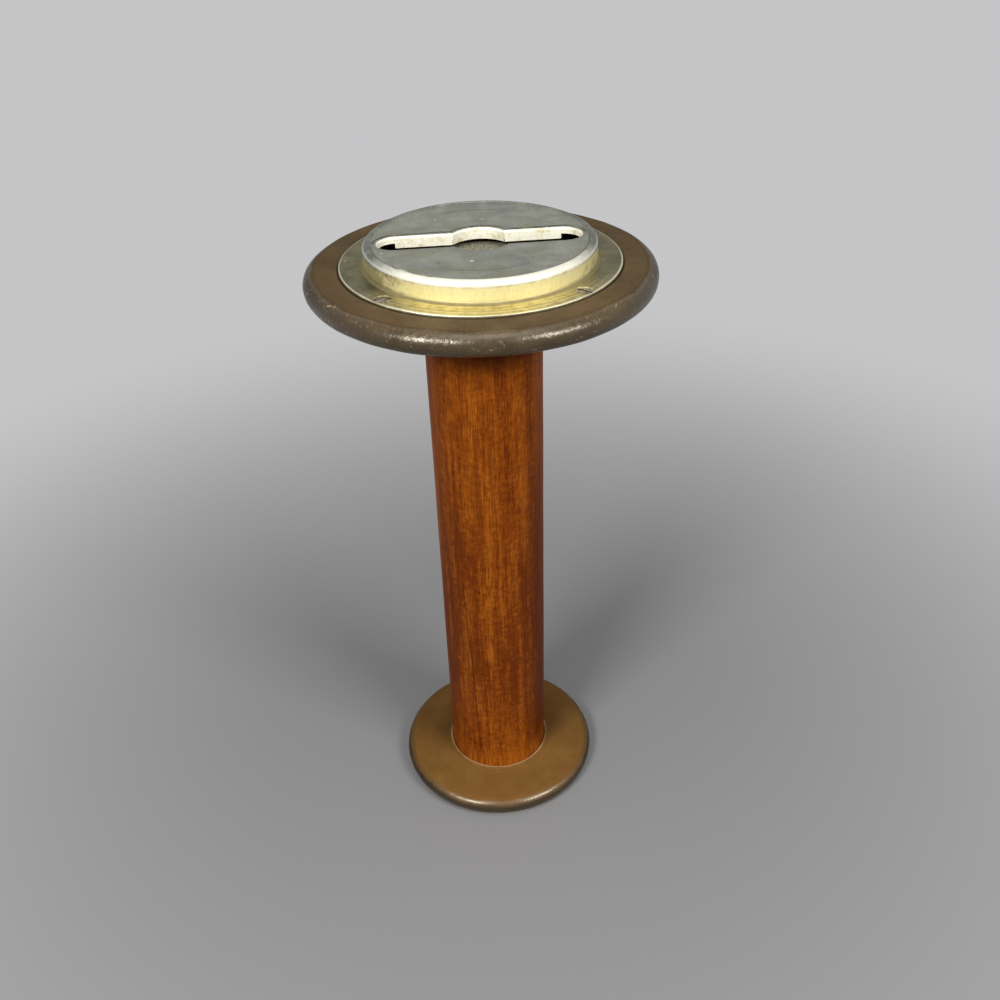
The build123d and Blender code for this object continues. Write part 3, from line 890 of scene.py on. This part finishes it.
def slot_ring(spread, heights):
    """A ring of points round the slot joined with the centre hole, grown by the spread."""
    half = SLOT_WIDTH / 2 + spread
    hole = HOLE_RADIUS + spread
    corner_x = sqrt(hole**2 - half**2)
    corner_angle = degrees(asin(half / hole))
    relief_x = corner_x + RELIEF_REACH
    relief_angle = corner_angle + degrees(RELIEF_REACH / hole)
    tiny_angle = degrees(TINY / hole)
    run_x = [SLOT_END_X - TINY, *np.linspace(SLOT_END_X - 1, relief_x + 1, RUN_STEPS), relief_x + TINY]
    run_x += [relief_x - TINY, corner_x + TINY]
    quarter = arc((SLOT_END_X, 0), half, 0, 90, TIP_STEPS)
    quarter += [(x, half) for x in run_x]
    quarter += arc((0, 0), hole, corner_angle + tiny_angle, relief_angle - tiny_angle, 2)
    quarter += arc((0, 0), hole, relief_angle + tiny_angle, 90, BOW_STEPS)
    quarter = np.array(quarter)
    mirrored = quarter[::-1] * (-1, 1)
    loop = np.concatenate([quarter[:-1], mirrored[:-1], -quarter[:-1], -mirrored[:-1]])
    return np.column_stack([loop, np.broadcast_to(heights, len(loop))])


def round_loop(quarter):
    """One value per point of the whole ring, from those of its first quarter."""
    quarter = np.array(quarter, float)
    half = np.concatenate([quarter[:-1], quarter[::-1][:-1]])
    return np.concatenate([half, half])


def drive_cap():
    depths = [LIP_DEPTH] * TIP_STEPS + [TAB_DEPTH] * (RUN_STEPS + 2) + [RELIEF_DEPTH] * 4
    depths = round_loop(depths + [TAB_DEPTH] * BOW_STEPS)
    opening = slot_ring(BEND_RADIUS, CAP_FACE)
    angles = np.arctan2(opening[:, 1], opening[:, 0])
    corner = BOSS_RADIUS - CORNER_RADIUS
    foot = RING_TOP + FOOT_RADIUS
    edge = 0.25
    inner_foot = FOOT_RADIUS + SHEET
    outer = [(RING_RADIUS - edge, LARGE_HEAD_TOP)]
    outer += arc((RING_RADIUS - edge, LARGE_HEAD_TOP + edge), edge, -75, 0, 4)
    outer += arc((RING_RADIUS - edge, RING_TOP - edge), edge, 0, 90, 6)
    outer += [(r, RING_TOP) for r in np.linspace(RING_RADIUS - 0.8, BOSS_RADIUS + FOOT_RADIUS + 0.5, 18)]
    outer += arc((BOSS_RADIUS + FOOT_RADIUS, foot), FOOT_RADIUS, 270, 180, 10)
    outer += [(BOSS_RADIUS, z) for z in np.linspace(foot + 0.4, CAP_TOP - CORNER_RADIUS - 0.4, 10)]
    outer += arc((corner, CAP_TOP - CORNER_RADIUS), CORNER_RADIUS, 0, 90, 18)
    outer += [(RIM_INNER_RADIUS + LIP_RADIUS, CAP_TOP)]
    outer += arc((RIM_INNER_RADIUS + 0.12, CAP_TOP - LIP_RADIUS), LIP_RADIUS, 90, 140, 4)
    slope_foot = RIM_INNER_RADIUS - RIM_SLOPE
    outer += [(slope_foot + 0.25, CAP_FACE + 0.17), (slope_foot + 0.08, CAP_FACE + 0.04)]
    rings = [circle(r, z, angles) for r, z in outer]
    margin = circle(slope_foot - 0.15, CAP_FACE, angles)
    rings += [margin + (opening - margin) * t for t in np.linspace(0, 1, 52)]
    for a in np.radians(np.linspace(0, 90, 9)[1:]):
        rings.append(slot_ring(BEND_RADIUS * (1 - sin(a)), CAP_FACE - BEND_RADIUS * (1 - cos(a))))
    bend_foot = CAP_FACE - BEND_RADIUS
    bottoms = CAP_FACE - depths
    rings += [slot_ring(0, bend_foot + (bottoms - bend_foot) * t) for t in np.linspace(0, 1, 8)[1:]]
    rings += [slot_ring(SHEET, bottoms + (bend_foot - bottoms) * t) for t in np.linspace(0, 1, 5)]
    inner_bend = BEND_RADIUS - SHEET
    for a in np.radians((30, 60, 90)):
        rings.append(slot_ring(SHEET + inner_bend * (1 - cos(a)), bend_foot + inner_bend * sin(a)))
    under = slot_ring(BEND_RADIUS, UNDER_FACE)
    inner = []
    inner_corner = (WALL_INNER_RADIUS - INNER_CORNER_RADIUS, UNDER_FACE - INNER_CORNER_RADIUS)
    inner += arc(inner_corner, INNER_CORNER_RADIUS, 90, 0, 8)
    inner += arc((WALL_INNER_RADIUS + inner_foot, LARGE_HEAD_TOP + inner_foot), inner_foot, 180, 270, 7)
    inner += [(50.0, LARGE_HEAD_TOP), (53.0, LARGE_HEAD_TOP)]
    first_inner = circle(*inner[0], angles)
    rings += [under + (first_inner - under) * t for t in np.linspace(0, 1, 8)[1:-1]]
    rings += [circle(r, z, angles) for r, z in inner]
    mesh = ring_mesh("drive_cap_sheet", rings)

    ring_z = RING_TOP
    marks = []
    for index in range(4):
        spot = polar(CAP_SCREW_RADIUS, CAP_SCREW_ANGLE + 90 * index, ring_z)
        marks.append(face_mark(spot[0], spot[1], ring_z, 0, 4.9, 4.9, 0.42, 0.0))
    face_spots = [
        # x, y, turn, half length, half width, depth, scar
        (-4.9, -23.8, 10, 1.15, 0.95, 0.12, 1.0),
        (2.7, 21.4, 0, 0.7, 0.7, 0.1, 0.9),
        (-38.2, -10.6, 30, 0.9, 0.6, 0.12, 0.9),
        (-33.3, 26.1, 20, 0.6, 0.5, 0.08, 0.8),
        (-23.6, 24.9, -30, 0.7, 0.4, 0.08, 0.8),
        (-16.3, 24.5, 60, 0.9, 0.5, 0.1, 0.9),
        (12.1, 19.4, 10, 0.5, 0.4, 0.08, 0.6),
        (19.8, 23.1, -10, 0.7, 0.4, 0.08, 0.7),
        (27.5, -14.0, -25, 0.6, 0.3, 0.06, 0.6),
        (9.0, -31.0, 15, 0.5, 0.4, 0.06, 0.5),
        (-31.6, -28.3, 138, 3.2, 1.0, 0.35, 0.0),
        (-22.6, -35.5, 122, 3.6, 1.1, 0.3, 0.0),
        (-28.0, -31.5, 130, 6.0, 0.8, 0.2, 0.0),
        (30.0, -29.5, 45, 3.5, 0.9, 0.2, 0.0),
        (14.0, 36.0, -20, 3.0, 1.0, 0.2, 0.0),
        (-8.0, 30.5, 5, 9.0, 1.2, 0.12, 0.0),
        (2.0, -33.0, 0, 9.0, 0.9, 0.12, 0.0),
        (21.0, 12.0, 25, 4.0, 2.0, 0.1, 0.0),
    ]
    marks += [face_mark(x, y, CAP_FACE, *rest) for x, y, *rest in face_spots]
    ring_spots = [
        (-53.2, 5.4, 80, 1.0, 0.5, 0.12, 0.8),
        (-53.0, 9.4, 60, 0.7, 0.4, 0.1, 0.7),
        (47.6, -20.9, 20, 0.8, 0.5, 0.12, 0.7),
        (43.2, -26.0, -30, 0.7, 0.4, 0.1, 0.6),
        (25.0, -45.0, -20, 1.6, 0.4, 0.08, 0.4),
        (-20.0, 49.0, 20, 1.2, 0.5, 0.12, 0.6),
        (36.0, 37.0, 40, 1.2, 0.5, 0.12, 0.6),
    ]
    marks += [face_mark(x, y, ring_z, *rest) for x, y, *rest in ring_spots]
    press(mesh, marks, [(26, 0.045, 6), (9, 0.012, 7)])
    sinks = sink_cutter(
        CAP_SCREW_HEAD, CAP_SCREW_SHANK, 3, RING_TOP, CAP_SCREW_ANGLE, CAP_SCREW_RADIUS, True,
    )
    piece = place("drive_cap_pressing", carve(mesh, sinks), 40)
    show(piece, "drive_cap", plated())


def screws():
    worn_steel = metal("screw_steel", (0.2, 0.17, 0.13), (0.74, 0.69, 0.6), 0.35, 0.25, 0.45)
    cap_screw = screw_mesh(CAP_SCREW_HEAD, CAP_SCREW_SHANK, CAP_SCREW_LENGTH, 0.18)
    head_screw = screw_mesh(HEAD_SCREW_HEAD, HEAD_SCREW_SHANK, HEAD_SCREW_LENGTH, 0.1)
    head_top = LARGE_HEAD_TOP - HEAD_SCREW_DEPTH
    rings = [
        ("cap_wood_screws", "cap_screws", cap_screw, CAP_SCREW_RADIUS, CAP_SCREW_ANGLE,
         CAP_SCREW_TOP, (24, 71, 8, 141), True),
        ("large_head_wood_screws", "large_head_screws", head_screw, HEAD_SCREW_RADIUS,
         HEAD_SCREW_ANGLE, head_top, (12, 83, 140, 55), True),
        ("small_head_wood_screws", "small_head_screws", head_screw, HEAD_SCREW_RADIUS,
         HEAD_SCREW_ANGLE, HEAD_SCREW_DEPTH, (38, 115, 5, 72), False),
    ]
    for name, node, screw, radius, first_angle, top, turns, face_up in rings:
        piece = screw_ring(name, screw, radius, first_angle, top, turns, face_up)
        show(piece, node, worn_steel)


def bushes():
    dull_brass = metal("bush_brass", (0.3, 0.2, 0.07), (0.62, 0.45, 0.18), 0.2, 0.3, 0.5)
    for name in ("drive_bush", "foot_bush"):
        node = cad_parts[name]
        node.data.materials.clear()
        node.data.materials.append(dull_brass)
        rounded = node.modifiers.new("rounded", "BEVEL")
        rounded.width = 0.15 * MM
        rounded.segments = 2
        rounded.angle_limit = radians(40)


# Floor, light and camera

FLOOR_RADIUS = 7.0
FLOOR_DROP = 0.0002
FLOOR_COLOUR = (0.25, 0.25, 0.255)
FLOOR_FADE_START = 0.1
FLOOR_FADE_END = 0.62
SKY_COLOUR = (0.56, 0.56, 0.57)
SKY_LIGHT = 0.2
TARGET = Vector((0, 0, 0.2))


def floor():
    """A plain pale floor, clear from below so that the underside can be looked at."""
    mesh = bpy.data.meshes.new("floor")
    disc = bmesh.new()
    bmesh.ops.create_circle(disc, cap_ends=True, radius=FLOOR_RADIUS, segments=96)
    bmesh.ops.translate(disc, verts=disc.verts, vec=(0, 0, -FLOOR_DROP))
    disc.to_mesh(mesh)
    disc.free()
    ground = bpy.data.objects.new("floor", mesh)
    bpy.context.scene.collection.objects.link(ground)
    material = bpy.data.materials.new("floor_paper")
    material.use_nodes = True
    nodes, links = material.node_tree.nodes, material.node_tree.links
    shader = nodes["Principled BSDF"]
    shader.inputs["Base Color"].default_value = (*FLOOR_COLOUR, 1)
    shader.inputs["Roughness"].default_value = 0.85
    clear = nodes.new("ShaderNodeBsdfTransparent")
    geometry = nodes.new("ShaderNodeNewGeometry")
    place_on_floor = nodes.new("ShaderNodeTexCoord")
    distance = nodes.new("ShaderNodeVectorMath")
    distance.operation = "LENGTH"
    fade = nodes.new("ShaderNodeMapRange")
    fade.interpolation_type = "SMOOTHSTEP"
    fade.inputs[1].default_value = FLOOR_FADE_START
    fade.inputs[2].default_value = FLOOR_FADE_END
    links.new(place_on_floor.outputs["Object"], distance.inputs[0])
    links.new(distance.outputs["Value"], fade.inputs[0])
    unseen = nodes.new("ShaderNodeMath")
    unseen.operation = "MAXIMUM"
    links.new(geometry.outputs["Backfacing"], unseen.inputs[0])
    links.new(fade.outputs[0], unseen.inputs[1])
    choose = nodes.new("ShaderNodeMixShader")
    links.new(unseen.outputs[0], choose.inputs[0])
    links.new(shader.outputs[0], choose.inputs[1])
    links.new(clear.outputs[0], choose.inputs[2])
    links.new(choose.outputs[0], nodes["Material Output"].inputs["Surface"])
    mesh.materials.append(material)


def sky():
    """Even light from all round, with a pale background where the camera and gloss see it."""
    world = bpy.data.worlds.new("sky")
    bpy.context.scene.world = world
    world.use_nodes = True
    nodes, links = world.node_tree.nodes, world.node_tree.links
    light = nodes["Background"]
    light.inputs["Color"].default_value = (1, 1, 1, 1)
    light.inputs["Strength"].default_value = SKY_LIGHT
    seen = nodes.new("ShaderNodeBackground")
    seen.inputs["Color"].default_value = (*SKY_COLOUR, 1)
    path = nodes.new("ShaderNodeLightPath")
    either = nodes.new("ShaderNodeMath")
    either.operation = "MAXIMUM"
    links.new(path.outputs["Is Camera Ray"], either.inputs[0])
    links.new(path.outputs["Is Glossy Ray"], either.inputs[1])
    every = nodes.new("ShaderNodeMath")
    every.operation = "MAXIMUM"
    links.new(either.outputs[0], every.inputs[0])
    links.new(path.outputs["Is Transmission Ray"], every.inputs[1])
    choose = nodes.new("ShaderNodeMixShader")
    links.new(every.outputs[0], choose.inputs[0])
    links.new(light.outputs[0], choose.inputs[1])
    links.new(seen.outputs[0], choose.inputs[2])
    links.new(choose.outputs[0], nodes["World Output"].inputs["Surface"])


def softbox(name, azimuth, elevation, distance, width, height, power, colour):
    """A soft area lamp that points at the bobbin."""
    lamp = bpy.data.lights.new(name, "AREA")
    lamp.shape = "RECTANGLE"
    lamp.size = width
    lamp.size_y = height
    lamp.energy = power
    lamp.color = colour
    holder = bpy.data.objects.new(name, lamp)
    flat = distance * cos(radians(elevation))
    back = Vector(polar(flat, azimuth, distance * sin(radians(elevation))))
    holder.location = TARGET + back
    holder.rotation_euler = (-back).to_track_quat("-Z", "Y").to_euler()
    bpy.context.scene.collection.objects.link(holder)


# The photograph's camera, fitted to the outlines of the heads, the cap and the barrel
CAMERA_SPOT = (-26.4, -376.9, 420.4)
CAMERA_YAW = 0.0822
CAMERA_PITCH = 0.6006
CAMERA_ROLL = 0.0316
CAMERA_LENS = 36
CAMERA_SENSOR = 36


def camera():
    data = bpy.data.cameras.new("camera")
    data.lens = CAMERA_LENS
    data.sensor_width = CAMERA_SENSOR
    data.clip_start = 0.01
    forward = Vector((sin(CAMERA_YAW) * cos(CAMERA_PITCH), cos(CAMERA_YAW) * cos(CAMERA_PITCH), -sin(CAMERA_PITCH)))
    level = Vector((cos(CAMERA_YAW), -sin(CAMERA_YAW), 0))
    down = forward.cross(level)
    right = cos(CAMERA_ROLL) * level + sin(CAMERA_ROLL) * down
    up = sin(CAMERA_ROLL) * level - cos(CAMERA_ROLL) * down
    eye = bpy.data.objects.new("camera", data)
    eye.matrix_world = Matrix.Translation(Vector(CAMERA_SPOT) * MM) @ Matrix((right, up, -forward)).transposed().to_4x4()
    bpy.context.scene.collection.objects.link(eye)
    bpy.context.scene.camera = eye


large_head()
small_head()
barrel()
drive_cap()
screws()
bushes()
floor()
sky()
softbox("softbox_left", -130, 33.5, 1.2, 0.4, 0.28, 10.3, (1, 0.98, 0.95))
softbox("softbox_right", -47, 33, 1.2, 0.5, 0.28, 8.3, (1, 0.98, 0.95))
softbox("softbox_top", -90, 76, 1.3, 1.0, 0.8, 4.7, (0.97, 0.98, 1))
camera()
bpy.context.scene.view_settings.view_transform = "Standard"
